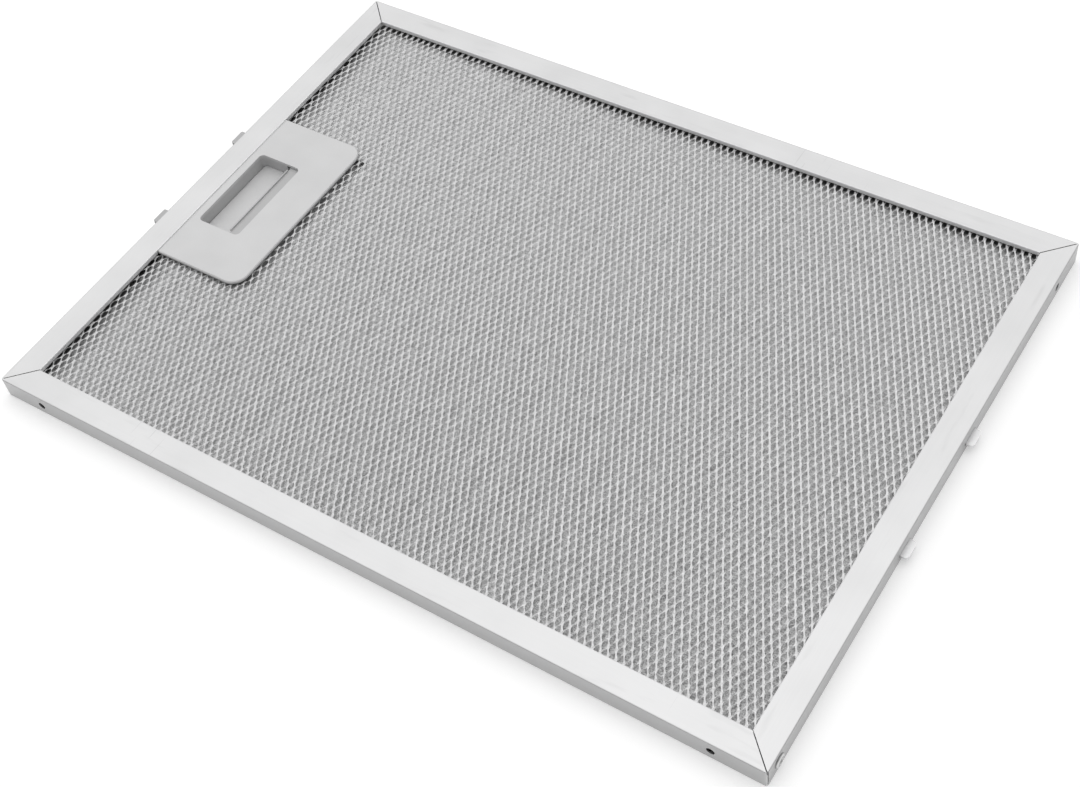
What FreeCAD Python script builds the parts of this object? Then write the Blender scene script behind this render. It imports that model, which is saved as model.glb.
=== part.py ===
import FreeCAD, Part
import math
import os

# Cooker hood grease filter: a folded aluminium frame round a pack of expanded metal,
# with a sprung finger latch on one short side and two fixed tabs on the other.
# X runs along the long side from the latch to the tabs, Z is up through the front face,
# and the origin is the middle of the underside. All sizes are in millimetres.

# Overall size of the folded frame
length = 320.0
width = 240.0
height = 9.0

# Frame strip
sheet = 0.5
fold_radius = 0.35
corner_radius = 1.2
flange = 10.6
lip_depth = 1.75
mitre_gap = 0.35
seam_gap = 0.3
lap_length = 14.0
lap_margin = 1.0
drain_diameter = 3.0
drain_inset = 19.4

# Blind rivet that closes the frame's seam
rivet_inset = 7.6
rivet_shank = 3.0
rivet_head = 5.4
rivet_head_height = 0.9
rivet_tail = 4.2
rivet_tail_length = 1.6
rivet_bore = 1.5

# Expanded metal face sheets: cell size, wall and gaps
cell_short = 2.90
cell_long = 5.85
cell_skew = -0.25
mesh_wall = 0.45
mesh_ridge = 0.60
gap_width = 1.6
gap_length = 3.6
gap_step = 15
gap_margin = 4.0
pack_inset = 4.2

# Crimped foil between the face sheets
foil_count = 3
foil_sheet = 0.15
foil_pitch = 12.0

# Handle: plate, housing and finger opening
plate_side = 8.5
plate_end = 3.5
plate_corner = 6.5
plate_chamfer = 0.35
plate_tuck_gap = 1.0
grip_inset = 14.0
grip_width = 20.0
grip_corner = 2.0
recess_wall = 0.65
recess_gap = 0.25
floor_gap = 0.3
housing_wall = 1.2
housing_side_gap = 1.3
floor_rise = 0.5
peg_side = 2.6

# Latch: grip bar, arms and tongues
tongue_spacing = 50.0
tongue_width = 7.0
tongue_reach = 3.6
tongue_corner = 0.5
ramp_length = 2.0
ramp_depth = 1.0
latch_thick = 2.5
latch_travel = 4.5
bar_shelf = 1.0
bar_width = 7.0
bar_shoulder = 2.0
bar_round = 0.6
bar_notch_gap = 1.6
arm_relief = 3.0
grip_lip_width = 0.5
grip_lip_height = 0.7

# Latch springs
spring_spacing = 28.0
spring_length = 10.8
spring_diameter = 3.8
spring_wire = 0.5
spring_turns = 4
spring_facets = 14
spigot_length = 1.5

# Fixed tabs on the other short side
tab_spacing = 51.0
tab_width = 7.5
tab_reach = 2.8
tab_thick = 1.0
tab_level = 3.5
tab_corner = 1.5
tab_head_width = 15.0

# Clearances
seat_gap = 0.05
fit_gap = 0.15
cut_gap = 0.4
slide_gap = 0.35
spigot_gap = 0.25
over_cut = 1.0

# Places worked out from the sizes above
half_length = length / 2
half_width = width / 2
web_inner = half_length - sheet
pack_x = web_inner - pack_inset
pack_y = half_width - sheet - pack_inset
mesh_thick = mesh_wall + mesh_ridge
front_crest = height - lip_depth - seat_gap
rear_crest = lip_depth + seat_gap
front_flat = front_crest - mesh_thick
rear_flat = rear_crest + mesh_thick
plate_top = height - sheet - seat_gap
plate_bottom = front_crest + seat_gap
plate_tail = -web_inner + plate_tuck_gap
back_bottom = sheet + seat_gap
back_top = rear_crest - seat_gap
floor_top = back_top + floor_rise
grip_start = -half_length + grip_inset
grip_length = tongue_spacing - tongue_width - 2 * (recess_wall + slide_gap)
latch_top = plate_bottom - slide_gap
latch_bottom = latch_top - latch_thick
bar_start = grip_start + grip_width - latch_travel - bar_shelf
bar_end = bar_start + bar_width
bar_depth_bottom = floor_top + slide_gap
bar_half = tongue_spacing / 2 + tongue_width / 2 + bar_shoulder
tongue_tip = -half_length - tongue_reach
spring_level = (bar_depth_bottom + latch_top) / 2
spring_seat = bar_end + spring_length
housing_start = grip_start - housing_wall
housing_end = spring_seat + housing_wall
housing_width = 2 * (bar_half + housing_side_gap + housing_wall)
plate_edge = housing_end + plate_end
plate_width = housing_width + 2 * plate_side
spigot_side = math.sqrt(2) * (spring_diameter / 2 - spring_wire - spigot_gap)


def vector(x, y, z):
    return FreeCAD.Vector(x, y, z)


def block(x_range, y_range, z_range):
    size = [span[1] - span[0] for span in (x_range, y_range, z_range)]
    return Part.makeBox(*size, vector(x_range[0], y_range[0], z_range[0]))


def rounded_wire(corners, place):
    # Closed outline through (u, v, radius) corners, each with an arc where its radius is above zero
    flat = [vector(u, v, 0) for u, v, _ in corners]
    starts, ends, arcs = [], [], []
    for index, point in enumerate(flat):
        radius = corners[index][2]
        back = flat[index - 1].sub(point).normalize()
        ahead = flat[(index + 1) % len(flat)].sub(point).normalize()
        if radius <= 0:
            starts.append(point)
            ends.append(point)
            arcs.append(None)
            continue
        half_angle = back.getAngle(ahead) / 2
        reach = radius / math.tan(half_angle)
        middle = back.add(ahead).normalize().multiply(radius / math.sin(half_angle) - radius)
        starts.append(point.add(vector(back.x * reach, back.y * reach, 0)))
        ends.append(point.add(vector(ahead.x * reach, ahead.y * reach, 0)))
        arcs.append(point.add(middle))
    edges = []
    for index, middle in enumerate(arcs):
        first, last = [place(point.x, point.y) for point in (starts[index], ends[index])]
        if middle is not None:
            edges.append(Part.Arc(first, place(middle.x, middle.y), last).toShape())
        following = starts[(index + 1) % len(starts)]
        if following.distanceToPoint(ends[index]) > 1e-6:
            edges.append(Part.makeLine(last, place(following.x, following.y)))
    return Part.Wire(edges)


def plate(corners, z_range):
    # Flat piece with a rounded outline, lying between two heights
    wire = rounded_wire(corners, lambda x, y: vector(x, y, z_range[0]))
    return Part.Face(wire).extrude(vector(0, 0, z_range[1] - z_range[0]))


def rounded_block(x_range, y_range, z_range, radius):
    corners = [
        (x_range[0], y_range[0], radius),
        (x_range[1], y_range[0], radius),
        (x_range[1], y_range[1], radius),
        (x_range[0], y_range[1], radius),
    ]
    return plate(corners, z_range)


def centred(middle, size):
    return (middle - size / 2, middle + size / 2)


def channel_side(run):
    # One side of the frame along X: a channel with turned lips, its ends cut at 45 degrees
    def place(inward, level):
        return vector(0, inward, level)

    def tube_face(margin, radius):
        low, high = margin, flange - margin
        corners = [(low, margin), (high, margin), (high, height - margin), (low, height - margin)]
        return Part.Face(rounded_wire([(u, v, radius) for u, v in corners], place))

    section = tube_face(0, fold_radius).cut(tube_face(sheet, 0))
    side = section.extrude(vector(run, 0, 0))
    mouth = block(
        (-over_cut, run + over_cut),
        (flange - sheet, flange + over_cut),
        (lip_depth, height - lip_depth),
    )
    reach = flange + over_cut
    mitre = [(0, 0, 0), (run, 0, 0), (run - reach, reach, 0), (reach, reach, 0)]
    return side.cut(mouth).common(plate(mitre, (0, height)))


def frame_corners():
    # Each corner with the direction of its mitre, front right corner first
    for x_sign, y_sign in ((1, -1), (1, 1), (-1, 1), (-1, -1)):
        yield vector(x_sign * half_length, y_sign * half_width, 0), vector(-x_sign, -y_sign, 0)


def mitre_slit(corner, inward, start):
    # Narrow gap along a corner's mitre, through both flanges and lips but not the wall
    run = (flange + over_cut) * math.sqrt(2)
    levels = ((height - lip_depth, height + over_cut), (-over_cut, lip_depth))
    slits = []
    for z_range in levels:
        slit = block((start, run), centred(0, mitre_gap), z_range)
        slit.rotate(vector(0, 0, 0), vector(0, 0, 1), math.degrees(math.atan2(inward.y, inward.x)))
        slit.translate(corner)
        slits.append(slit)
    return slits


def wall_hole(point, axis, diameter):
    reach = 2 * sheet + over_cut
    start = point.sub(vector(axis.x * reach, axis.y * reach, axis.z * reach))
    return Part.makeCylinder(diameter / 2, 2 * reach, start, axis)


def frame():
    sides = []
    starts = (
        (length, -half_length, -half_width),
        (width, half_length, -half_width),
        (length, half_length, half_width),
        (width, -half_length, half_width),
    )
    for turn, (run, x, y) in enumerate(starts):
        side = channel_side(run)
        side.rotate(vector(0, 0, 0), vector(0, 0, 1), 90 * turn)
        side.translate(vector(x, y, 0))
        sides.append(side)
    ring = sides[0].multiFuse(sides[1:])
    outline = rounded_block(
        (-half_length, half_length), (-half_width, half_width), (0, height), corner_radius
    )
    ring = ring.common(outline)

    # The strip's end is bent behind the tab side's wall at the closing corner
    lap_outer = web_inner - seat_gap
    lap = block(
        (lap_outer - sheet, lap_outer),
        (-half_width + sheet - seat_gap, -half_width + lap_length),
        (lap_margin, height - lap_margin),
    )
    ring = ring.fuse(lap)

    cuts = []
    for index, (corner, inward) in enumerate(frame_corners()):
        is_seam = index == 0
        start = -over_cut if is_seam else (sheet + fold_radius) * math.sqrt(2)
        cuts += mitre_slit(corner, inward, start)
    seam_start = -half_width + sheet + seat_gap
    cuts.append(
        block(
            (lap_outer + seat_gap / 2, half_length + over_cut),
            (seam_start, seam_start + seam_gap),
            (-over_cut, height + over_cut),
        )
    )

    # Drain holes near the corners, except where the rivet is
    level = height / 2
    for x_sign in (-1, 1):
        for y_sign in (-1, 1):
            x, y = x_sign * (half_length - drain_inset), y_sign * half_width
            cuts.append(wall_hole(vector(x, y, level), vector(0, 1, 0), drain_diameter))
            x, y = x_sign * half_length, y_sign * (half_width - drain_inset)
            if (x_sign, y_sign) != (1, -1):
                cuts.append(wall_hole(vector(x, y, level), vector(1, 0, 0), drain_diameter))
    rivet_place = vector(half_length, -half_width + rivet_inset, level)
    cuts.append(wall_hole(rivet_place, vector(1, 0, 0), rivet_shank + 2 * seat_gap))

    # Slots for the latch tongues and the fixed tabs
    for sign in (-1, 1):
        cuts.append(
            block(
                (-half_length - over_cut, -web_inner + over_cut),
                centred(sign * tongue_spacing / 2, tongue_width + 2 * cut_gap),
                (latch_bottom - slide_gap, latch_top + slide_gap),
            )
        )
        cuts.append(
            block(
                (web_inner - over_cut, half_length + over_cut),
                centred(sign * tab_spacing / 2, tab_width + 2 * cut_gap),
                centred(tab_level, tab_thick + 2 * fit_gap),
            )
        )

    # Both lips are left out where the handle's plates slip under the flanges
    lip_start = -half_length + flange - fold_radius - sheet
    cuts.append(
        block(
            (lip_start, -half_length + flange + over_cut),
            centred(0, plate_width + 2 * cut_gap),
            (sheet, height - sheet),
        )
    )
    return ring.cut(cuts).removeSplitter()


def corner_rivet():
    # Blind rivet along X, turned about its own axis
    tail_end = web_inner - 2 * seat_gap - sheet
    bore, shank, head, tail = [
        value / 2 for value in (rivet_bore, rivet_shank, rivet_head, rivet_tail)
    ]
    head_x = half_length + rivet_head_height
    tail_start = tail_end - rivet_tail_length
    points = [
        (tail_start, bore),
        (head_x, bore),
        (head_x, head),
        (half_length, head),
        (half_length, shank),
        (tail_end, shank),
        (tail_end, tail),
        (tail_start, tail),
    ]
    corners = [vector(x, radius, 0) for x, radius in points]
    face = Part.Face(Part.makePolygon(corners + corners[:1]))
    rivet = face.revolve(vector(0, 0, 0), vector(1, 0, 0), 360)
    rivet.translate(vector(0, -half_width + rivet_inset, height / 2))
    return rivet


def pack_outline(z_range):
    # Outline of every layer of the pack, notched round the handle's housing
    sheet_block = block((-pack_x, pack_x), (-pack_y, pack_y), z_range)
    notch = block(
        (-pack_x - over_cut, housing_end + cut_gap),
        centred(0, housing_width + 2 * cut_gap),
        (z_range[0] - over_cut, z_range[1] + over_cut),
    )
    return sheet_block.cut(notch)


def ridge_direction():
    # The long strands of the expanded metal run along the second edge of its cell
    run = vector((cell_short - cell_skew) / 2, -cell_long / 2, 0).normalize()
    return run, vector(-run.y, run.x, 0)


def wave_solid(run, across, levels, pitch, reach):
    # Wall carried along run: a zigzag face above a flat or zigzag underside, level by phase
    start = vector(-run.x * reach, -run.y * reach, 0)
    count = int(math.ceil(reach / pitch)) + 1

    def place(offset, level):
        return start.add(vector(across.x * offset, across.y * offset, level))

    steps = range(-2 * count, 2 * count + 1)
    top = [place(step * pitch / 2, levels["top"][step % 2]) for step in steps]
    under = levels["under"]
    if under[0] == under[1]:
        bottom = [place(steps[-1] * pitch / 2, under[0]), place(steps[0] * pitch / 2, under[0])]
    else:
        bottom = [place(step * pitch / 2, under[step % 2]) for step in reversed(steps)]
    face = Part.Face(Part.makePolygon(top + bottom + top[:1]))
    return face.extrude(vector(2 * run.x * reach, 2 * run.y * reach, 0))


def mesh_gaps(z_range):
    # Diamond gaps in the valleys between the ridges, one cell in every gap_step each way
    half_x, half_y = gap_width / 2, gap_length / 2
    edge_x = half_length - flange - gap_margin
    edge_y = half_width - flange - gap_margin
    clear_x = plate_edge + gap_margin
    clear_y = plate_width / 2 + gap_margin
    count = int(length / cell_short / gap_step) + 2
    gaps = []
    for row in range(-count, count + 1):
        for column in range(-count, count + 1):
            along, over = row * gap_step, column * gap_step
            x = along * (cell_short + cell_skew) / 2 + over * (cell_short - cell_skew) / 2
            y = (along - over) * cell_long / 2
            if abs(x) > edge_x or abs(y) > edge_y or (x < clear_x and abs(y) < clear_y):
                continue
            diamond = [(x + half_x, y), (x, y + half_y), (x - half_x, y), (x, y - half_y)]
            gaps.append(plate([(u, v, 0) for u, v in diamond], z_range))
    return gaps


def face_mesh(flat, crest):
    # Expanded metal sheet: ridges on its outer face, flat towards the foil
    direction = 1 if crest > flat else -1
    valley = flat + direction * mesh_wall
    run, across = ridge_direction()
    pitch = cell_short * cell_long / 2 / math.hypot((cell_short - cell_skew) / 2, cell_long / 2)
    z_range = (min(flat, crest), max(flat, crest))
    levels = {"top": (valley, crest), "under": (flat, flat)}
    reach = math.hypot(pack_x, pack_y)
    wall = wave_solid(run, across, levels, pitch, reach).common(pack_outline(z_range))
    return wall.cut(mesh_gaps((z_range[0] - over_cut, z_range[1] + over_cut)))


def foil_layer(index):
    # Thin crimped sheet, its waves running across those of the next layer
    space = front_flat - rear_flat - (foil_count + 1) * seat_gap
    layer = space / foil_count
    low = rear_flat + seat_gap + index * (layer + seat_gap)
    crest = low + layer
    levels = {"top": (low + foil_sheet, crest), "under": (low, crest - foil_sheet)}
    runs = (vector(0, 1, 0), vector(1, 0, 0))
    run = runs[index % 2]
    across = runs[(index + 1) % 2]
    reach = max(pack_x, pack_y)
    return wave_solid(run, across, levels, foil_pitch, reach).common(pack_outline((low, crest)))


def handle_outline():
    half = plate_width / 2
    return [
        (plate_tail, -half, 0),
        (plate_edge, -half, plate_corner),
        (plate_edge, half, plate_corner),
        (plate_tail, half, 0),
    ]


def housing_block(margin, z_range):
    # Space inside the housing's outer faces, drawn in by margin on every side
    half = housing_width / 2 - margin
    return block((housing_start + margin, housing_end - margin), (-half, half), z_range)


def peg_places():
    # Two pegs stop the latch's shoulders, two stand in the far corners of the housing
    half = peg_side / 2
    stop_x = bar_start - slide_gap - half
    stop_y = tongue_spacing / 2 + tongue_width / 2 + slide_gap + half
    corner_x = spring_seat - fit_gap - cut_gap - half
    corner_y = housing_width / 2 - housing_wall - fit_gap - cut_gap - half
    return [(x, sign * y) for x, y in ((stop_x, stop_y), (corner_x, corner_y)) for sign in (-1, 1)]


def pegs(side, z_range):
    return [block(centred(x, side), centred(y, side), z_range) for x, y in peg_places()]


def spring_places():
    return [sign * spring_spacing / 2 for sign in (-1, 1)]


def spigots(x, direction):
    # Short square studs that hold the ends of the springs
    x_range = sorted((x - direction * seat_gap, x + direction * spigot_length))
    z_range = centred(spring_level, spigot_side)
    return [block(x_range, centred(y, spigot_side), z_range) for y in spring_places()]


def bevel_free_rim(solid, level):
    # Small chamfer round the plate's three free edges, on the face at this level
    rim = []
    for edge in solid.Edges:
        box = edge.BoundBox
        if abs(box.ZMin - level) < 1e-6 and abs(box.ZMax - level) < 1e-6 and box.XMax > plate_tail + 1e-6:
            rim.append(edge)
    return solid.makeChamfer(plate_chamfer, rim)


def handle_plate():
    # Front moulding: plate, housing walls, finger opening, end walls of the recess, pegs and studs
    body = bevel_free_rim(plate(handle_outline(), (plate_bottom, plate_top)), plate_top)
    skirt_range = (back_top + seat_gap, plate_bottom)
    skirt = housing_block(0, skirt_range).cut(housing_block(housing_wall, skirt_range))
    pieces = [skirt]
    recess_half = grip_length / 2
    wall_bottom = floor_top + recess_gap
    for sign in (-1, 1):
        # End wall of the recess, notched in its upper part where the grip bar passes
        y_range = sorted((sign * recess_half, sign * (recess_half + recess_wall)))
        x_range = (housing_start + seat_gap, bar_start - bar_notch_gap)
        pieces.append(block(x_range, y_range, (wall_bottom, plate_bottom)))
        x_range = (housing_start + seat_gap, spring_seat + seat_gap)
        pieces.append(block(x_range, y_range, (wall_bottom, latch_bottom - slide_gap)))
        y_range = sorted((sign * (recess_half - grip_corner), sign * (recess_half + seat_gap)))
        x_range = (grip_start - seat_gap, grip_start + grip_corner)
        pieces.append(block(x_range, y_range, (wall_bottom, plate_bottom)))
    pieces += pegs(peg_side, (back_bottom, plate_bottom))
    pieces += spigots(spring_seat, -1)
    body = body.multiFuse(pieces)
    opening = rounded_block(
        (grip_start, grip_start + grip_width),
        (-recess_half, recess_half),
        (back_top, plate_top + over_cut),
        grip_corner,
    )
    cuts = [opening]
    for sign in (-1, 1):
        cuts.append(
            block(
                (housing_start - over_cut, grip_start + seat_gap),
                centred(sign * tongue_spacing / 2, tongue_width + 2 * slide_gap),
                (latch_bottom - slide_gap, plate_bottom),
            )
        )
    return body.cut(cuts).removeSplitter()


def handle_back_plate():
    # Rear moulding: the like plate, with a raised floor that fits inside the housing
    body = bevel_free_rim(plate(handle_outline(), (back_bottom, back_top)), back_bottom)
    floor = housing_block(housing_wall + floor_gap, (back_top - seat_gap, floor_top))
    holes = pegs(peg_side + 2 * fit_gap, (back_bottom - over_cut, floor_top + over_cut))
    return body.fuse(floor).cut(holes).removeSplitter()


def latch_slider():
    # Grip bar with a deep middle and a raised lip for the finger, and two arms that end in ramped tongues
    middle_half = grip_length / 2 - slide_gap
    bar_section = [
        (bar_start, bar_depth_bottom, bar_round),
        (bar_end, bar_depth_bottom, 0),
        (bar_end, latch_top, 0),
        (bar_start, latch_top, bar_round),
    ]
    middle_face = Part.Face(rounded_wire(bar_section, lambda x, z: vector(x, -middle_half, z)))
    middle = middle_face.extrude(vector(0, 2 * middle_half, 0))
    lip_half = grip_length / 2 - grip_corner
    lip_range = (latch_top - bar_round, latch_top + grip_lip_height)
    pieces = [block((bar_start, bar_start + grip_lip_width), (-lip_half, lip_half), lip_range)]
    cuts = []
    for sign in (-1, 1):
        outer = sorted((sign * (middle_half - seat_gap), sign * bar_half))
        pieces.append(block((bar_start, bar_end), outer, (latch_bottom, latch_top)))
        low, high = centred(sign * tongue_spacing / 2, tongue_width)
        arm = [
            (tongue_tip, low, tongue_corner),
            (bar_end, low, 0),
            (bar_end, high, 0),
            (tongue_tip, high, tongue_corner),
        ]
        pieces.append(plate(arm, (latch_bottom, latch_top)))
        # Relief in the inside corner between arm and bar
        inner = sign * (tongue_spacing - tongue_width) / 2
        cuts.append(
            block(
                (bar_start - bar_notch_gap, bar_start),
                sorted((inner - sign * over_cut, inner + sign * arm_relief)),
                (latch_bottom - over_cut, latch_top + over_cut),
            )
        )
    pieces += spigots(bar_end, 1)
    slider = middle.multiFuse(pieces)
    ramp = [
        (tongue_tip - ramp_length, latch_bottom - ramp_depth),
        (tongue_tip + ramp_length, latch_bottom - ramp_depth),
        (tongue_tip + ramp_length, latch_bottom),
        (tongue_tip, latch_bottom + ramp_depth),
        (tongue_tip - ramp_length, latch_bottom + ramp_depth),
    ]
    wedge_face = Part.Face(
        rounded_wire([(x, z, 0) for x, z in ramp], lambda x, z: vector(x, -bar_half, z))
    )
    cuts.append(wedge_face.extrude(vector(0, 2 * bar_half, 0)))
    return slider.cut(cuts).removeSplitter()


def latch_spring(y):
    # Coil spring along X between the grip bar and the housing's end wall, as square wire
    run = spring_seat - bar_end - 2 * seat_gap - spring_wire
    start = bar_end + seat_gap + spring_wire / 2
    inner, outer = spring_diameter / 2 - spring_wire, spring_diameter / 2
    sections = []
    stations = spring_turns * spring_facets
    for station in range(stations + 1):
        angle = 2 * math.pi * station / spring_facets
        x = start + run * station / stations
        corners = [
            vector(x + side, y + radius * math.cos(angle), spring_level + radius * math.sin(angle))
            for side, radius in (
                (-spring_wire / 2, inner),
                (spring_wire / 2, inner),
                (spring_wire / 2, outer),
                (-spring_wire / 2, outer),
            )
        ]
        sections.append(Part.makePolygon(corners + corners[:1]))
    return Part.makeLoft(sections, True, True)


def locating_tab(y):
    # Flat metal tab: a wide head inside the channel and a rounded tongue through the wall's slot
    head_back = pack_x + cut_gap
    head_front = web_inner - seat_gap
    tip = half_length + tab_reach
    head, tongue = tab_head_width / 2, tab_width / 2
    corners = [
        (head_back, y - head, 0),
        (head_front, y - head, 0),
        (head_front, y - tongue, 0),
        (tip, y - tongue, tab_corner),
        (tip, y + tongue, tab_corner),
        (head_front, y + tongue, 0),
        (head_front, y + head, 0),
        (head_back, y + head, 0),
    ]
    return plate(corners, centred(tab_level, tab_thick))


nodes = {
    "frame": frame(),
    "corner_rivet": corner_rivet(),
    "front_mesh": face_mesh(front_flat, front_crest),
    "rear_mesh": face_mesh(rear_flat, rear_crest),
    "handle_plate": handle_plate(),
    "handle_back_plate": handle_back_plate(),
    "latch_slider": latch_slider(),
}
for layer in range(foil_count):
    nodes["foil_layer_%d" % (layer + 1)] = foil_layer(layer)
for number, sign in ((1, -1), (2, 1)):
    nodes["latch_spring_%d" % number] = latch_spring(sign * spring_spacing / 2)
    nodes["locating_tab_%d" % number] = locating_tab(sign * tab_spacing / 2)

os.makedirs("parts", exist_ok=True)
for name, shape in nodes.items():
    shape.exportStep("parts/%s.step" % name)
    print(name, "solids", len(shape.Solids), "valid", shape.isValid(), "volume", round(shape.Volume, 1))
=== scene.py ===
import math
import bpy
import numpy as np
from mathutils import Matrix, Vector


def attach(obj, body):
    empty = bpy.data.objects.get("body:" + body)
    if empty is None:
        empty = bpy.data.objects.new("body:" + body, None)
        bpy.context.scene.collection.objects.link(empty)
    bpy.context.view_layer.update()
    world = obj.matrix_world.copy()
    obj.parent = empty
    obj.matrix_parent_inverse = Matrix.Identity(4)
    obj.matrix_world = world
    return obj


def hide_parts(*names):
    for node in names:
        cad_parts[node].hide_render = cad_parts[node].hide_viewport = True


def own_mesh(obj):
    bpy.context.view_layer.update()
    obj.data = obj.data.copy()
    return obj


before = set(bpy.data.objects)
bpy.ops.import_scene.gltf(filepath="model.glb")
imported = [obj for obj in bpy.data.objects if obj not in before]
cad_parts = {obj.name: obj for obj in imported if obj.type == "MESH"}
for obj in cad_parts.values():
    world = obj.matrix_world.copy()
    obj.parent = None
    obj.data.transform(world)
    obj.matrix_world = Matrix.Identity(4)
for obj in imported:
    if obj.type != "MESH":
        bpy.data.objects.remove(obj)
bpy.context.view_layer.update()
mm = 0.001
print("frame loaded:", len(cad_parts), "CAD nodes")


# Puts whole arrays of points, in mm, and of faces into one mesh that sits at the origin
def makePiece(name, points, faces, smooth=False):
    mesh = bpy.data.meshes.new(name)
    sides = faces.shape[1]
    mesh.vertices.add(len(points))
    mesh.vertices.foreach_set("co", (points * mm).astype(np.float32).ravel())
    mesh.loops.add(faces.size)
    mesh.loops.foreach_set("vertex_index", faces.astype(np.int32).ravel())
    mesh.polygons.add(len(faces))
    mesh.polygons.foreach_set("loop_start", np.arange(0, faces.size, sides, dtype=np.int32))
    mesh.polygons.foreach_set("use_smooth", np.full(len(faces), smooth))
    mesh.update(calc_edges=True)
    mesh.validate()
    piece = bpy.data.objects.new(name, mesh)
    bpy.context.scene.collection.objects.link(piece)
    return piece


# Dresses a new piece, hides the CAD node that it stands for and lets it ride on a body
def seatPiece(piece, body, slotName, finish, *nodes):
    piece.data.materials.append(finish)
    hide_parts(*nodes)
    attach(piece, body)


# Edges that only one face uses, in that face's own direction
def openEdges(faces):
    edges = np.stack([faces, np.roll(faces, -1, axis=1)], axis=2).reshape(-1, 2)
    keys = np.sort(edges, axis=1)
    order, counts = np.unique(keys, axis=0, return_inverse=True, return_counts=True)[1:]
    return edges[counts[order.ravel()] == 1]


# Node tools for the finishes
def newFinish(name):
    finish = bpy.data.materials.new(name)
    finish.use_nodes = True
    tree = finish.node_tree
    return finish, tree, tree.nodes["Principled BSDF"]


def addNode(tree, kind, sockets=None, **settings):
    node = tree.nodes.new(kind)
    for key, value in settings.items():
        setattr(node, key, value)
    for key, value in (sockets or {}).items():
        node.inputs[key].default_value = value
    return node


def joinNodes(tree, *pairs):
    for output, socket in pairs:
        tree.links.new(output, socket)


# Noise on the piece's own coordinates, with a scale for each axis (per metre) and a turn about Z
def grain(tree, scale, detail, turn=0.0):
    place = addNode(tree, "ShaderNodeTexCoord")
    mapping = addNode(tree, "ShaderNodeMapping", {"Scale": scale, "Rotation": (0, 0, turn)})
    noise = addNode(tree, "ShaderNodeTexNoise", {"Scale": 1.0, "Detail": detail})
    joinNodes(
        tree,
        (place.outputs["Object"], mapping.inputs["Vector"]),
        (mapping.outputs["Vector"], noise.inputs["Vector"]),
    )
    return noise.outputs["Fac"]


# Maps one range to another and stays at its ends outside; noise lies mostly between 0.3 and 0.7
def spread(tree, source, low, high, fromLow=0.3, fromHigh=0.7):
    node = addNode(tree, "ShaderNodeMapRange", {1: fromLow, 2: fromHigh, 3: low, 4: high})
    tree.links.new(source, node.inputs[0])
    return node.outputs[0]


# Links what is a socket and sets what is a number
def mathNode(tree, operation, first, second=None):
    node = addNode(tree, "ShaderNodeMath", operation=operation)
    for index, value in enumerate((first, second)):
        if isinstance(value, bpy.types.NodeSocket):
            tree.links.new(value, node.inputs[index])
        elif value is not None:
            node.inputs[index].default_value = value
    return node.outputs[0]


# The first grain times a share, and the second times the rest
def blendGrains(tree, first, second, share):
    part = mathNode(tree, "MULTIPLY", first, share)
    return mathNode(tree, "ADD", part, mathNode(tree, "MULTIPLY", second, 1 - share))


blueLean = 1.004  # every grey leans a trace to blue


# Goes from the first tone to the second by a share; each may be a grey or a socket
def mixTones(tree, share, dark, light):
    node = addNode(tree, "ShaderNodeMix", data_type="RGBA")
    for socket, value in ((node.inputs["Factor"], share), (node.inputs[6], dark), (node.inputs[7], light)):
        if isinstance(value, bpy.types.NodeSocket):
            tree.links.new(value, socket)
        else:
            socket.default_value = (value, value, value * blueLean, 1)
    return node.outputs[2]


# A bump is a pair of strength and height in metres
def bumpNormal(tree, height, bump, normal=None):
    node = addNode(tree, "ShaderNodeBump", {"Strength": bump[0], "Distance": bump[1]})
    tree.links.new(height, node.inputs["Height"])
    if normal is not None:
        tree.links.new(normal, node.inputs["Normal"])
    return node.outputs["Normal"]


# Share from 0 to 1 along a direction in the piece's own coordinates (metres)
def fadeAlong(tree, direction, start, stop):
    place = addNode(tree, "ShaderNodeTexCoord")
    along = addNode(tree, "ShaderNodeVectorMath", {1: direction}, operation="DOT_PRODUCT")
    tree.links.new(place.outputs["Object"], along.inputs[0])
    return spread(tree, along.outputs["Value"], 0, 1, start, stop)


# Joins tone, roughness and normal to the shader, and for bare metal makes it a metal too
def dressShader(tree, shader, shade, rough, normal):
    joinNodes(
        tree,
        (shade, shader.inputs["Base Color"]),
        (rough, shader.inputs["Roughness"]),
        (normal, shader.inputs["Normal"]),
    )


def dressMetal(tree, shader, shade, rough, normal):
    dressShader(tree, shader, shade, rough, normal)
    shader.inputs["Metallic"].default_value = 1.0


# Satin aluminium strip: rolling lines along each side, slow waves, cloudy tone, a few scuffs and faint smudges.
# The distance inwards from the frame's outline picks the outer wall, toned darker as painted shade, and the
# inner lip faces past the flange, given a rough matte finish and a lighter tone as painted light
stripLook = {
    "halfLength": 0.160, "halfWidth": 0.120,
    "dark": 0.62, "light": 0.68, "toneRange": (0.35, 0.65), "rough": (0.33, 0.44),
    "lineScale": (9, 1500), "lineShare": 0.2, "lineBump": (0.10, 0.00005),
    "cloudScale": (38, 38, 120), "waveScale": (24, 24, 24), "waveBump": (0.5, 0.0006),
    "scratchScale": (1400, 34, 34), "scratchTurn": 0.5, "scratchCut": 0.70,
    "patchScale": (26, 26, 26), "patchRange": (0.56, 0.66), "scuff": 0.50, "scuffShare": 0.5,
    "smudgeScale": (45, 260), "smudgeRange": (0.60, 0.76), "smudge": 0.42, "smudgeShare": 0.22,
    # wall, wallShare and wallReach set the painted shade on the frame's outer walls
    "wall": 0.46, "wallShare": 0.9, "wallReach": (0.0001, 0.0005),
    # the lighter tone of the inner lip faces is painted light; their higher roughness is a matte finish
    "flange": 0.0104, "innerLipLight": 0.90, "cutRough": 0.75,
}


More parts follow.
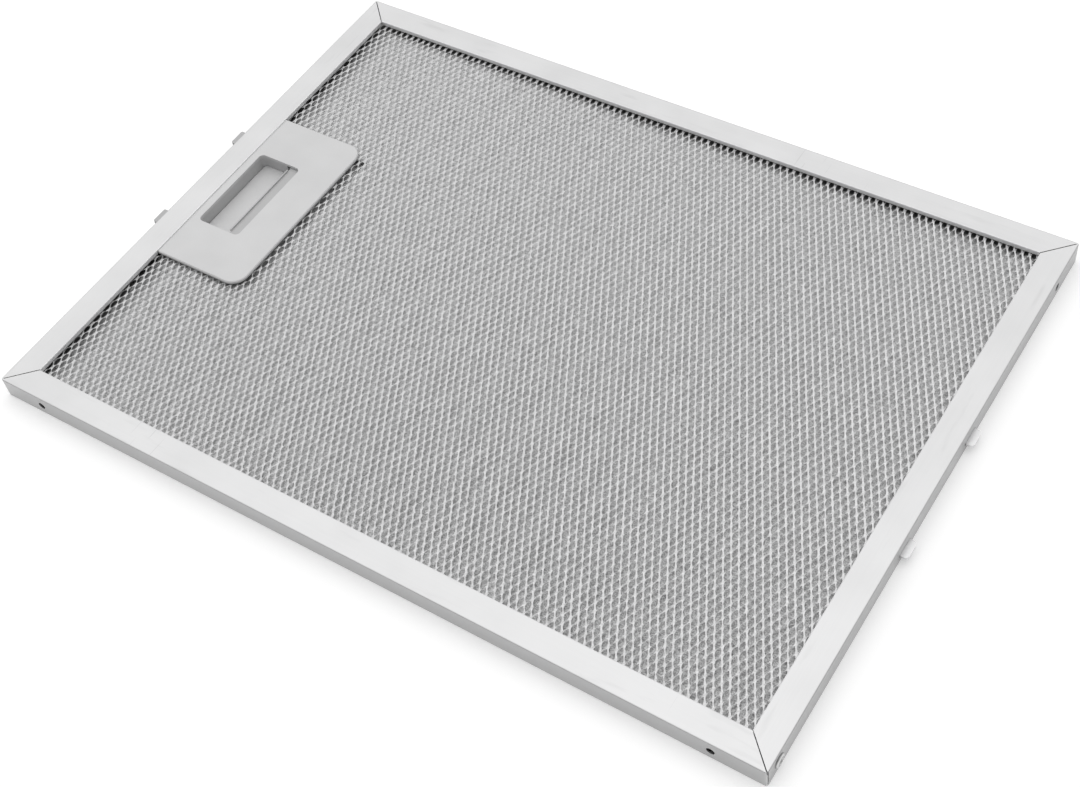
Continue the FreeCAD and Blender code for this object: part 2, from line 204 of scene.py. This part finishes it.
def stripFinish(name):
    look = stripLook
    finish, tree, shader = newFinish(name)
    place = addNode(tree, "ShaderNodeTexCoord")
    axes = addNode(tree, "ShaderNodeSeparateXYZ")
    tree.links.new(place.outputs["Object"], axes.inputs[0])
    edgeX = mathNode(tree, "SUBTRACT", look["halfLength"], mathNode(tree, "ABSOLUTE", axes.outputs[0]))
    edgeY = mathNode(tree, "SUBTRACT", look["halfWidth"], mathNode(tree, "ABSOLUTE", axes.outputs[1]))
    inward = mathNode(tree, "MINIMUM", edgeX, edgeY)
    shortSide = mathNode(tree, "LESS_THAN", edgeX, edgeY)

    def alongStrip(slow, fine):
        longGrain = grain(tree, (slow, fine, fine), 3)
        return mixTones(tree, shortSide, longGrain, grain(tree, (fine, slow, fine), 3))

    lines = alongStrip(*look["lineScale"])
    tone = blendGrains(tree, lines, grain(tree, look["cloudScale"], 3), look["lineShare"])
    shade = mixTones(tree, spread(tree, tone, 0, 1, *look["toneRange"]), look["dark"], look["light"])
    rough = spread(tree, tone, *look["rough"])
    scratches = grain(tree, look["scratchScale"], 2, look["scratchTurn"])
    scratches = mathNode(tree, "GREATER_THAN", scratches, look["scratchCut"])
    patches = spread(tree, grain(tree, look["patchScale"], 1), 0, 1, *look["patchRange"])
    scuffs = mathNode(tree, "MULTIPLY", scratches, patches)  # scratches show in patches only
    scuffs = mathNode(tree, "MULTIPLY", scuffs, look["scuffShare"])
    shade = mixTones(tree, scuffs, shade, look["scuff"])
    smudges = spread(tree, alongStrip(*look["smudgeScale"]), 0, 1, *look["smudgeRange"])
    smudges = mathNode(tree, "MULTIPLY", smudges, look["smudgeShare"])
    shade = mixTones(tree, smudges, shade, look["smudge"])
    # painted shade: the outer walls are pulled towards a darker grey
    outerWallShade = spread(tree, inward, look["wallShare"], 0, *look["wallReach"])
    shade = mixTones(tree, outerWallShade, shade, look["wall"])
    # painted light on the inner lip faces past the flange, together with their rough matte finish
    innerLipFace = mathNode(tree, "GREATER_THAN", inward, look["flange"])
    shade = mixTones(tree, innerLipFace, shade, look["innerLipLight"])
    rough = mathNode(tree, "MAXIMUM", rough, mathNode(tree, "MULTIPLY", innerLipFace, look["cutRough"]))
    waves = bumpNormal(tree, grain(tree, look["waveScale"], 1), look["waveBump"])
    dressMetal(tree, shader, shade, rough, bumpNormal(tree, lines, look["lineBump"], waves))
    return finish


# Bare metal with a fine crinkle, for tabs and springs
bareLook = {"cloudScale": (60, 60, 60), "fineShare": 0.6, "bump": (0.6, 0.00003)}
tabLook = {"dark": 0.68, "light": 0.76, "rough": (0.30, 0.40), "fineScale": (900, 900, 900)}
springLook = {"dark": 0.50, "light": 0.58, "rough": (0.24, 0.34), "fineScale": (1800, 1800, 1800)}


def bareFinish(name, look):
    finish, tree, shader = newFinish(name)
    specks = grain(tree, look["fineScale"], 2)
    tone = blendGrains(tree, specks, grain(tree, bareLook["cloudScale"], 2), bareLook["fineShare"])
    shade = mixTones(tree, spread(tree, tone, 0, 1), look["dark"], look["light"])
    rough = spread(tree, specks, *look["rough"])
    dressMetal(tree, shader, shade, rough, bumpNormal(tree, specks, bareLook["bump"]))
    return finish


# Expanded metal: bare aluminium with painted light and shade, darker at the handle side and lighter towards the
# tab side
expandedLook = {
    # the two tones and their fade across X are painted light and shade
    "expandedShadedTone": (0.51, 0.65), "expandedLitTone": (0.56, 0.74), "fade": (-0.16, 0.16),
    "rough": (0.34, 0.46), "fineScale": (1300, 1300, 1300), "bump": (0.6, 0.00004),
}


def expandedFinish(name):
    finish, tree, shader = newFinish(name)
    specks = grain(tree, expandedLook["fineScale"], 2)
    contrast = spread(tree, specks, 0, 1)
    expandedShadedTone = mixTones(tree, contrast, *expandedLook["expandedShadedTone"])
    expandedLitTone = mixTones(tree, contrast, *expandedLook["expandedLitTone"])
    # painted light and shade: the tone fades from the handle side to the tab side
    shade = mixTones(tree, fadeAlong(tree, (1, 0, 0), *expandedLook["fade"]), expandedShadedTone, expandedLitTone)
    rough = spread(tree, specks, *expandedLook["rough"])
    dressMetal(tree, shader, shade, rough, bumpNormal(tree, specks, expandedLook["bump"]))
    return finish


# Foil in the depth of the pack: strong light and dark specks, as of fine layers one under the other, with
# painted shade that darkens it from the handle's far corner to the opposite corner, and once more along two of
# the frame's lips
foilLook = {
    # the second tone, its fade and the lip tone with its two ranges are painted shade
    "foilLitTone": (0.53, 0.73), "deep": (0.29, 0.67), "towards": (1, -1, 0), "fade": (-0.20, 0.26),
    "lip": 0.28, "latchLip": (-0.1494, -0.1390), "farLip": (-0.1094, -0.1050),
    "fineScale": (1700, 2380, 1700), "turn": 0.6, "contrast": (0.36, 0.64),
    "rough": (0.52, 0.68), "bump": (0.6, 0.00010),
}


def foilFinish(name):
    finish, tree, shader = newFinish(name)
    specks = grain(tree, foilLook["fineScale"], 1, foilLook["turn"])
    contrast = spread(tree, specks, 0, 1, *foilLook["contrast"])
    foilLitTone = mixTones(tree, contrast, *foilLook["foilLitTone"])
    deep = mixTones(tree, contrast, *foilLook["deep"])
    # painted shade from the handle's far corner to the opposite corner
    shade = mixTones(tree, fadeAlong(tree, foilLook["towards"], *foilLook["fade"]), foilLitTone, deep)
    # painted shade along the latch-side lip and the far lip
    pastLatchLip = fadeAlong(tree, (1, 0, 0), *foilLook["latchLip"])
    pastFarLip = fadeAlong(tree, (0, -1, 0), *foilLook["farLip"])
    shade = mixTones(tree, mathNode(tree, "MULTIPLY", pastLatchLip, pastFarLip), foilLook["lip"], shade)
    rough = spread(tree, specks, *foilLook["rough"])
    dressMetal(tree, shader, shade, rough, bumpNormal(tree, specks, foilLook["bump"]))
    return finish


# Blind rivet: bare aluminium, with painted shade in its bore, in a ring round its crown and at its foot.
# Tone is a ramp of rings, each a share of the head's radius and a tone, round the rivet's axis
rivetLook = {
    "shift": (0, 0.1124, -0.0045), "head": 0.0027,
    # the dark stops of the ramp (bore, ring round the crown, foot) are painted shade
    "rings": (
        (0.24, 0.10), (0.34, 0.62), (0.46, 0.64), (0.58, 0.26), (0.70, 0.66), (0.88, 0.70), (1.0, 0.26),
    ),
    "fineScale": (1600, 1600, 1600), "speck": (0.95, 1.05), "rough": (0.32, 0.46), "bump": (0.6, 0.00004),
}


def rivetFinish(name):
    finish, tree, shader = newFinish(name)
    specks = grain(tree, rivetLook["fineScale"], 2)
    place = addNode(tree, "ShaderNodeTexCoord")
    mapping = addNode(tree, "ShaderNodeMapping", {"Location": rivetLook["shift"], "Scale": (0, 1, 1)})
    reach = addNode(tree, "ShaderNodeVectorMath", operation="LENGTH")
    ramp = addNode(tree, "ShaderNodeValToRGB")
    stops = ramp.color_ramp.elements
    while len(stops) < len(rivetLook["rings"]):
        stops.new(0.5)  # gets its own place just below
    for stop, (position, tone) in zip(stops, rivetLook["rings"]):
        stop.position = position
        stop.color = (tone, tone, tone, 1)
    joinNodes(
        tree,
        (place.outputs["Object"], mapping.inputs["Vector"]),
        (mapping.outputs["Vector"], reach.inputs[0]),
        (spread(tree, reach.outputs["Value"], 0, 1, 0, rivetLook["head"]), ramp.inputs["Fac"]),
    )
    shade = mathNode(tree, "MULTIPLY", ramp.outputs["Color"], spread(tree, specks, *rivetLook["speck"]))
    rough = spread(tree, specks, *rivetLook["rough"])
    dressMetal(tree, shader, shade, rough, bumpNormal(tree, specks, rivetLook["bump"]))
    return finish


# Matte grey moulding: fine spark-eroded texture and a faint cloudiness. The walls below the plate's face
# keep a share of the tone, as painted shade
mouldedLook = {
    "fineScale": (2600, 2600, 2600), "cloudScale": (70, 70, 70), "fineShare": 0.4,
    "rough": (0.52, 0.66), "bump": (0.35, 0.00006), "specular": 0.4, "wallFade": (0.0065, 0.0083),
}
# wall: the share of the tone that the walls below the face keep, as painted shade
handleLook = {"dark": 0.64, "light": 0.70, "wall": 0.74}
handleBackLook = {"dark": 0.62, "light": 0.68, "wall": 1.0}
latchLook = {"dark": 0.47, "light": 0.53, "wall": 1.0}


def mouldedFinish(name, look):
    finish, tree, shader = newFinish(name)
    fine = grain(tree, mouldedLook["fineScale"], 2)
    tone = blendGrains(tree, fine, grain(tree, mouldedLook["cloudScale"], 3), mouldedLook["fineShare"])
    contrast = spread(tree, tone, 0, 1)
    face = mixTones(tree, contrast, look["dark"], look["light"])
    shadedInside = mixTones(tree, contrast, look["dark"] * look["wall"], look["light"] * look["wall"])
    # painted shade on the walls below the plate's face
    shade = mixTones(tree, fadeAlong(tree, (0, 0, 1), *mouldedLook["wallFade"]), shadedInside, face)
    rough = spread(tree, fine, *mouldedLook["rough"])
    dressShader(tree, shader, shade, rough, bumpNormal(tree, fine, mouldedLook["bump"]))
    shader.inputs["Specular IOR Level"].default_value = mouldedLook["specular"]
    return finish


finishes = {
    "strip": stripFinish("satinAluminiumStrip"),
    "expanded": expandedFinish("expandedAluminium"),
    "foil": foilFinish("crimpedFoil"),
    "rivet": rivetFinish("rivetAluminium"),
    "tab": bareFinish("tabAluminium", tabLook),
    "spring": bareFinish("springSteel", springLook),
    "handle": mouldedFinish("handlePlastic", handleLook),
    "handleBack": mouldedFinish("handleBackPlastic", handleBackLook),
    "latch": mouldedFinish("latchPlastic", latchLook),
}
nodeFinishes = {
    "frame": "strip",
    "handle_plate": "handle",
    "handle_back_plate": "handleBack",
    "latch_slider": "latch",
    "locating_tab_1": "tab",
    "locating_tab_2": "tab",
    "foil_layer_2": "foil",
}
for nodeName, finishName in nodeFinishes.items():
    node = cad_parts[nodeName]
    node.data.materials.clear()
    node.data.materials.append(finishes[finishName])
print("finishes made:", len(finishes))


# Outline of the pack in mm, with the notch round the handle's housing
pack = {"halfX": 155.3, "halfY": 115.3, "notchX": -112.1, "notchY": 33.4}


def insidePack(x, y, marginX, marginY):
    whole = (np.abs(x) < pack["halfX"] - marginX) & (np.abs(y) < pack["halfY"] - marginY)
    return whole & ~((x < pack["notchX"] + marginX) & (np.abs(y) < pack["notchY"] + marginY))


# Expanded metal: diamonds on the lattice i*a1 + j*a2, each with a leaf-shaped hole of eight rim points.
# Strands run between lattice corners, crowned at the ridge and leaning like louvres across X. The leaf blends
# from the rim set to the far set, and the lean changes, by a first value plus a slope along X and along Y
expanded = {
    "frontFlat": 6.15, "rearFlat": 2.85,
    "cellShort": 2.90, "cellLong": 5.85, "cellSkew": -0.25,
    "holeShort": 2.05, "holeLong": 4.5,
    "rimAcross": (0.88, 0.55, -0.08, -0.82, -0.95, -0.70, 0.08, 0.55),
    "rimAlong": (0, 0.5, 1, 0.5, 0, -0.5, -1, -0.5),
    "rimRise": (-0.15, -0.10, 0, 0.05, 0.11, 0.06, 0, -0.24),
    "farAcross": (0.86, 0.70, 0.10, -0.80, -0.90, -0.76, -0.10, 0.60),
    "farAlong": (0, 0.56, 0.93, 0.55, 0, -0.56, -0.93, -0.55),
    "farRise": (-0.05, -0.16, -0.02, 0.02, 0.05, -0.06, -0.02, -0.08),
    "far": (0.15, -0.0045, 0.0025), "lean": (0.84, 0.0020, -0.0010),
    "ridge": 0.88, "under": 0.70, "lowest": 0.12, "highest": 1.05,
    "wave": 0.03, "waveX": 23.0, "waveY": 31.0, "waveBend": 1.3,
    "cornerDrift": 0.04, "levelDrift": 0.02, "levelLimit": 0.08,
    "rimDrift": 0.03, "rimNoise": 0.022, "leanDrift": 0.10, "seed": 11,
}


def expandedSheet(name, flat, outward, seed):
    spec = expanded
    rng = np.random.default_rng(seed)
    a1 = np.array([(spec["cellShort"] + spec["cellSkew"]) / 2, spec["cellLong"] / 2])
    a2 = np.array([(spec["cellShort"] - spec["cellSkew"]) / 2, -spec["cellLong"] / 2])
    count = int(pack["halfX"] / spec["cellShort"] + pack["halfY"] / spec["cellLong"]) + 4
    i, j = np.meshgrid(np.arange(-count, count + 1), np.arange(-count, count + 1), indexing="ij")
    centres = i[..., None] * a1 + j[..., None] * a2
    kept = insidePack(centres[..., 0], centres[..., 1], spec["cellShort"] / 2, spec["cellLong"] / 2)
    cells = np.argwhere(kept)
    centre = centres[kept]
    side = 2 * count + 2
    # corners of the diamonds, one row of the table for each lattice crossing
    p, q = np.meshgrid(np.arange(side), np.arange(side), indexing="ij")
    corner = (p - count - 0.5)[..., None] * a1 + (q - count - 0.5)[..., None] * a2
    corner = corner.reshape(-1, 2) + rng.normal(0, spec["cornerDrift"], (side * side, 2))
    level = rng.normal(0, spec["levelDrift"], side * side)
    bend = spec["waveBend"] * np.sin(corner[:, 1] / spec["waveY"])
    wave = spec["wave"] * np.sin(corner[:, 0] / spec["waveX"] + bend)
    # east, north, west and south corner of each kept cell
    order = np.array([[1, 1], [1, 0], [0, 0], [0, 1]])
    ring = (cells[:, None, 0] + order[:, 0]) * side + cells[:, None, 1] + order[:, 1]
    used, ring = np.unique(ring, return_inverse=True)
    ring = ring.reshape(-1, 4)
    corner, wave = corner[used], wave[used]
    level = np.clip(level[used], -spec["levelLimit"], spec["levelLimit"])
    top = np.column_stack([corner, spec["ridge"] + level + wave])
    under = np.column_stack([corner, spec["under"] + level + wave])
    # eight rim points of each leaf, going round from the east
    share = np.clip(spec["far"][0] + centre @ np.array(spec["far"][1:]), 0, 1)[:, None]
    across, along, rise = [
        (1 - share) * np.array(spec["rim" + part]) + share * np.array(spec["far" + part])
        for part in ("Across", "Along", "Rise")
    ]
    size = 1 + rng.normal(0, spec["rimDrift"], (len(centre), 1))
    east = np.array([1.0, 0.0]) * spec["holeShort"] / 2
    north = (a1 - a2) / np.linalg.norm(a1 - a2) * spec["holeLong"] / 2
    rimPlace = centre[:, None, :] + (size * across)[..., None] * east + (size * along)[..., None] * north
    rimPlace = rimPlace + rng.normal(0, spec["cornerDrift"], (len(centre), 1, 2))
    lean = spec["lean"][0] + centre @ np.array(spec["lean"][1:])
    tilt = lean[:, None] + rng.normal(0, spec["leanDrift"], (len(centre), 1))
    rimLevel = spec["ridge"] + tilt * rise + rng.normal(0, spec["rimNoise"], (len(centre), 8))
    rimLevel = rimLevel + wave[ring].mean(axis=1)[:, None]
    rim = np.concatenate([rimPlace, rimLevel[..., None]], axis=2).reshape(-1, 3)
    points = np.concatenate([top, under, rim])
    points[:, 2] = np.clip(points[:, 2], spec["lowest"], spec["highest"])
    points[:, 2] = flat + outward * points[:, 2]
    # twelve triangles above and twelve below for each cell
    n = len(used)
    rimIndex = 2 * n + np.arange(len(centre))[:, None] * 8 + np.arange(8)
    above = []
    for k in range(4):
        a, b = ring[:, k], ring[:, (k + 1) % 4]
        first, middle, last = [rimIndex[:, (2 * k + step) % 8] for step in range(3)]
        above += [np.stack(t, 1) for t in ((a, b, middle), (a, middle, first), (b, last, middle))]
    above = np.concatenate(above)
    below = np.where(above < n, above + n, above)[:, ::-1]
    border = openEdges(ring)
    a, b = border[:, 0], border[:, 1]
    edge = np.concatenate([np.stack([b, a, a + n], 1), np.stack([b, a + n, b + n], 1)])
    faces = np.concatenate([above, below, edge])
    if outward < 0:
        faces = faces[:, ::-1]
    print(name, len(centre), "cells,", len(faces), "triangles")
    return makePiece(name, points, faces)


frontSheet = expandedSheet("front_expanded_metal", expanded["frontFlat"], 1, expanded["seed"])
seatPiece(frontSheet, "filter", "mesh_aluminium", finishes["expanded"], "front_mesh")
rearSheet = expandedSheet("rear_expanded_metal", expanded["rearFlat"], -1, expanded["seed"] + 1)
seatPiece(rearSheet, "filter", "mesh_aluminium", finishes["expanded"], "rear_mesh")


# Crimped foil: a zigzag across X with a random crumple, as a thin closed sheet on a square grid. It ends
# before the frame's lips on two sides and beside the handle's housing
foil = {
    "upper": (5.07, 6.10), "lower": (2.90, 3.93), "sheet": 0.15,
    "step": 1.3, "drift": 0.3, "hem": 0.1, "pitch": 12.0, "foot": 0.25, "swing": 0.5, "crumple": 0.144,
    "west": -148.6, "north": 108.5, "besideX": -105.5, "besideY": 37.0, "seed": 23,
}


def foilSheet(name, low, high, seed):
    rng = np.random.default_rng(seed)
    nx = int(2 * pack["halfX"] / foil["step"]) + 1
    ny = int(2 * pack["halfY"] / foil["step"]) + 1
    rowX = np.linspace(-pack["halfX"], pack["halfX"], nx)
    rowY = np.linspace(-pack["halfY"], pack["halfY"], ny)
    x, y = np.meshgrid(rowX, rowY, indexing="ij")
    zigzag = np.abs((x / foil["pitch"]) % 1.0 - 0.5) * 2
    mid = low + foil["sheet"] + (high - low - foil["sheet"]) * (foil["foot"] + foil["swing"] * zigzag)
    drift = foil["drift"] * foil["step"]
    xs = x + rng.uniform(-drift, drift, x.shape) * (np.abs(x) < pack["halfX"] - foil["hem"])
    ys = y + rng.uniform(-drift, drift, x.shape) * (np.abs(y) < pack["halfY"] - foil["hem"])
    level = np.clip(mid + rng.uniform(-1, 1, x.shape) * foil["crumple"], low + foil["sheet"], high)
    top = np.stack([xs, ys, level], 2).reshape(-1, 3)
    under = top - np.array([0, 0, foil["sheet"]])
    index = np.arange(nx * ny).reshape(nx, ny)
    quads = np.stack([index[:-1, :-1], index[1:, :-1], index[1:, 1:], index[:-1, 1:]], 2).reshape(-1, 4)
    middle = top[quads].mean(axis=1)
    reach = (middle[:, 0] > foil["west"]) & (middle[:, 1] < foil["north"])
    reach &= (middle[:, 0] > foil["besideX"]) | (np.abs(middle[:, 1]) > foil["besideY"])
    quads = quads[insidePack(middle[:, 0], middle[:, 1], 0, 0) & reach]
    n = len(top)
    border = openEdges(quads)
    edge = np.stack([border[:, 1], border[:, 0], border[:, 0] + n, border[:, 1] + n], 1)
    faces = np.concatenate([quads, quads[:, ::-1] + n, edge])
    faces = np.concatenate([faces[:, [0, 1, 2]], faces[:, [0, 2, 3]]])
    used, faces = np.unique(faces, return_inverse=True)
    points = np.concatenate([top, under])[used]
    faces = faces.reshape(-1, 3)
    print(name, len(faces), "triangles")
    return makePiece(name, points, faces)


upperFoil = foilSheet("upper_crimped_foil", *foil["upper"], foil["seed"])
seatPiece(upperFoil, "filter", "foil_aluminium", finishes["foil"], "foil_layer_3")
lowerFoil = foilSheet("lower_crimped_foil", *foil["lower"], foil["seed"] + 1)
seatPiece(lowerFoil, "filter", "foil_aluminium", finishes["foil"], "foil_layer_1")


# Blind rivet: a closed profile of distance along X and radius, turned about the rivet's axis. The bore's wall
# comes first, then the domed head as a quarter round from crown to rim, then the shank and the set tail
rivet = {
    "x": 160.0, "y": -112.4, "z": 4.5,
    "head": 2.7, "height": 0.75, "crown": 1.15, "domeSteps": 9,
    "bore": 0.75, "mouthDepth": 0.3, "mouthDrop": 0.08, "mouthFlare": 0.1,
    "shank": 1.5, "grip": 1.15, "tail": 2.1, "tailStart": 1.3, "tailEnd": 2.2, "tailRound": 0.3, "steps": 40,
}


def rivetPiece(name):
    spec = rivet
    arc = np.linspace(0, np.pi / 2, spec["domeSteps"])
    rise = spec["height"] * np.cos(arc)
    dome = np.column_stack([rise, spec["crown"] + (spec["head"] - spec["crown"]) * np.sin(arc)])
    boreWall = [
        [-spec["tailEnd"], spec["bore"]],
        [spec["height"] - spec["mouthDepth"], spec["bore"]],
        [spec["height"] - spec["mouthDrop"], spec["bore"] + spec["mouthFlare"]],
    ]
    shankAndTail = [
        [0.0, spec["shank"]],
        [-spec["grip"], spec["shank"]],
        [-spec["tailStart"], spec["tail"]],
        [-spec["tailEnd"] - spec["tailRound"], spec["tail"] - spec["tailRound"]],
    ]
    profile = np.concatenate([boreWall, dome, shankAndTail])
    turn = np.linspace(0, 2 * np.pi, spec["steps"], endpoint=False)
    along, radius = profile[:, 0][:, None], profile[:, 1][:, None]
    points = np.stack([
        spec["x"] + along + 0 * turn,
        spec["y"] + radius * np.cos(turn),
        spec["z"] + radius * np.sin(turn),
    ], 2).reshape(-1, 3)
    rows, columns = len(profile), spec["steps"]
    index = np.arange(rows * columns).reshape(rows, columns)
    ahead, beside = np.roll(index, -1, axis=0), np.roll(index, -1, axis=1)
    faces = np.stack([index, ahead, np.roll(ahead, -1, axis=1), beside], 2).reshape(-1, 4)
    return makePiece(name, points, faces, True)


rivetHead = rivetPiece("blind_rivet")
seatPiece(rivetHead, "filter", "rivet_aluminium", finishes["rivet"], "corner_rivet")


# Latch springs: a round wire carried along a helix about X. A sine takes pitch from the end turns
spring = {
    "from": -124.45, "to": -113.75, "y": 14.0, "z": 4.75, "travel": 4.5,
    "radius": 1.65, "wire": 0.25, "turns": 6.0, "ease": 0.10, "around": 10, "along": 180,
}


def springPiece(name, y):
    t = np.linspace(0, 1, spring["along"])
    low, high = spring["from"] + spring["wire"], spring["to"] - spring["wire"]
    ease = t - spring["ease"] * np.sin(2 * np.pi * t)
    angle = 2 * np.pi * spring["turns"] * t
    radial = np.stack([0 * t, np.cos(angle), np.sin(angle)], 1)
    path = np.array([0, y, spring["z"]]) + spring["radius"] * radial
    path[:, 0] = low + (high - low) * ease
    tangent = np.gradient(path, axis=0)
    tangent /= np.linalg.norm(tangent, axis=1)[:, None]
    across = np.cross(tangent, radial)
    turn = np.linspace(0, 2 * np.pi, spring["around"], endpoint=False)[None, :, None]
    ring = np.cos(turn) * radial[:, None, :] + np.sin(turn) * across[:, None, :]
    points = (path[:, None, :] + spring["wire"] * ring).reshape(-1, 3)
    rows, columns = spring["along"], spring["around"]
    index = np.arange(rows * columns).reshape(rows, columns)
    beside = np.roll(index, -1, axis=1)
    wall = np.stack([index[:-1], index[1:], beside[1:], beside[:-1]], 2).reshape(-1, 4)
    ends = len(points) + np.arange(2)
    points = np.concatenate([points, path[[0, -1]]])
    startCap = np.stack([np.full(columns, ends[0]), index[0], beside[0]], 1)
    endCap = np.stack([np.full(columns, ends[1]), beside[-1], index[-1]], 1)
    faces = np.concatenate([wall[:, [0, 1, 2]], wall[:, [0, 2, 3]], startCap, endCap])
    return makePiece(name, points, faces, True)


for number, sign in ((1, -1), (2, 1)):
    coil = springPiece("wire_spring_%d" % number, sign * spring["y"])
    seatPiece(coil, "filter", "spring_steel", finishes["spring"], "latch_spring_%d" % number)
    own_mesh(coil)
print("pieces made")


# Pale floor, lifted to white for the eye and in the metal's reflections, that keeps the shadow
floorLook = {"half": 12.0, "tone": 0.86, "lift": 0.27}


def makeFloor():
    half = floorLook["half"] / mm
    points = np.array([[-half, -half, 0], [half, -half, 0], [half, half, 0], [-half, half, 0]], float)
    floor = makePiece("floor", points, np.array([[0, 1, 2, 3]]))
    finish, tree, shader = newFinish("paleFloor")
    tone = floorLook["tone"]
    shader.inputs["Base Color"].default_value = (tone, tone, tone, 1)
    shader.inputs["Roughness"].default_value = 1.0
    shader.inputs["Specular IOR Level"].default_value = 0.0
    shader.inputs["Emission Color"].default_value = (1, 1, 1, 1)
    rays = addNode(tree, "ShaderNodeLightPath")
    seen = mathNode(tree, "MAXIMUM", rays.outputs["Is Camera Ray"], rays.outputs["Is Glossy Ray"])
    seen = mathNode(tree, "MAXIMUM", seen, rays.outputs["Is Transmission Ray"])
    lift = mathNode(tree, "MULTIPLY", seen, floorLook["lift"])
    tree.links.new(lift, shader.inputs["Emission Strength"])
    floor.data.materials.append(finish)


makeFloor()
print("floor laid")


# Soft studio: an even fill, a wide bright part behind and to the left that fades towards the horizon, a softer
# one overhead and a small spot. Each part grows from 0 at its edge to its full strength, by the cosine
studio = {
    "fill": 0.40,
    "softbox": 0.62, "softboxTowards": (-0.45, 0.52, 0.73), "softboxFrom": 0.10, "softboxTo": 0.75,
    "horizonFrom": -0.10, "horizonTo": 0.45,
    "top": 0.46, "topFrom": 0.55, "topTo": 1.0,
    "spot": 0.08, "spotTowards": (-0.62, 0.42, 0.66), "spotFrom": 0.93, "spotTo": 1.0,
}


def makeStudio():
    world = bpy.data.worlds.new("studio")
    bpy.context.scene.world = world
    world.use_nodes = True
    tree = world.node_tree
    background = tree.nodes["Background"]
    place = addNode(tree, "ShaderNodeTexCoord")

    def glow(part, direction, strength):
        cosine = addNode(tree, "ShaderNodeVectorMath", operation="DOT_PRODUCT")
        cosine.inputs[1].default_value = Vector(direction).normalized()
        tree.links.new(place.outputs["Generated"], cosine.inputs[0])
        rise = {1: studio[part + "From"], 2: studio[part + "To"], 3: 0.0, 4: strength}
        ramp = addNode(tree, "ShaderNodeMapRange", rise, interpolation_type="SMOOTHSTEP")
        tree.links.new(cosine.outputs["Value"], ramp.inputs[0])
        return ramp.outputs[0]

    light = glow("softbox", studio["softboxTowards"], studio["softbox"])
    light = mathNode(tree, "MULTIPLY", light, glow("horizon", (0, 0, 1), 1.0))
    light = mathNode(tree, "ADD", light, glow("top", (0, 0, 1), studio["top"]))
    light = mathNode(tree, "ADD", light, glow("spot", studio["spotTowards"], studio["spot"]))
    light = mathNode(tree, "ADD", light, studio["fill"])
    tree.links.new(light, background.inputs["Strength"])
    background.inputs["Color"].default_value = (1, 1, 1, 1)


makeStudio()
print("studio lit")


# Camera fitted to the photo's frame of 1080 by 787. Azimuth and elevation, in degrees, point from the target
# to the camera
shot = {
    "widthPx": 1080, "focalPx": 1700.239, "sensor": 36.0, "clip": (0.01, 50),
    "azimuth": 40.253, "elevation": 51.391, "roll": -9.714,
    "target": (0.017978, -0.025531, 0.0), "distance": 0.612523,
}


def makeCamera():
    data = bpy.data.cameras.new("camera")
    data.sensor_fit = "HORIZONTAL"
    data.sensor_width = shot["sensor"]
    data.lens = shot["focalPx"] / shot["widthPx"] * shot["sensor"]
    data.clip_start, data.clip_end = shot["clip"]
    camera = bpy.data.objects.new("camera", data)
    bpy.context.scene.collection.objects.link(camera)
    az, el, roll = [math.radians(shot[key]) for key in ("azimuth", "elevation", "roll")]
    back = Vector((math.sin(az) * math.cos(el), -math.cos(az) * math.cos(el), math.sin(el)))
    right = Vector((0, 0, 1)).cross(back).normalized()
    up = back.cross(right)
    right, up = math.cos(roll) * right + math.sin(roll) * up, math.cos(roll) * up - math.sin(roll) * right
    turn = Matrix((right, up, back)).transposed().to_4x4()
    camera.matrix_world = Matrix.Translation(Vector(shot["target"]) + back * shot["distance"]) @ turn
    bpy.context.scene.camera = camera


makeCamera()
bpy.context.scene.view_settings.view_transform = "Standard"
print("camera set")

print("scene ready")
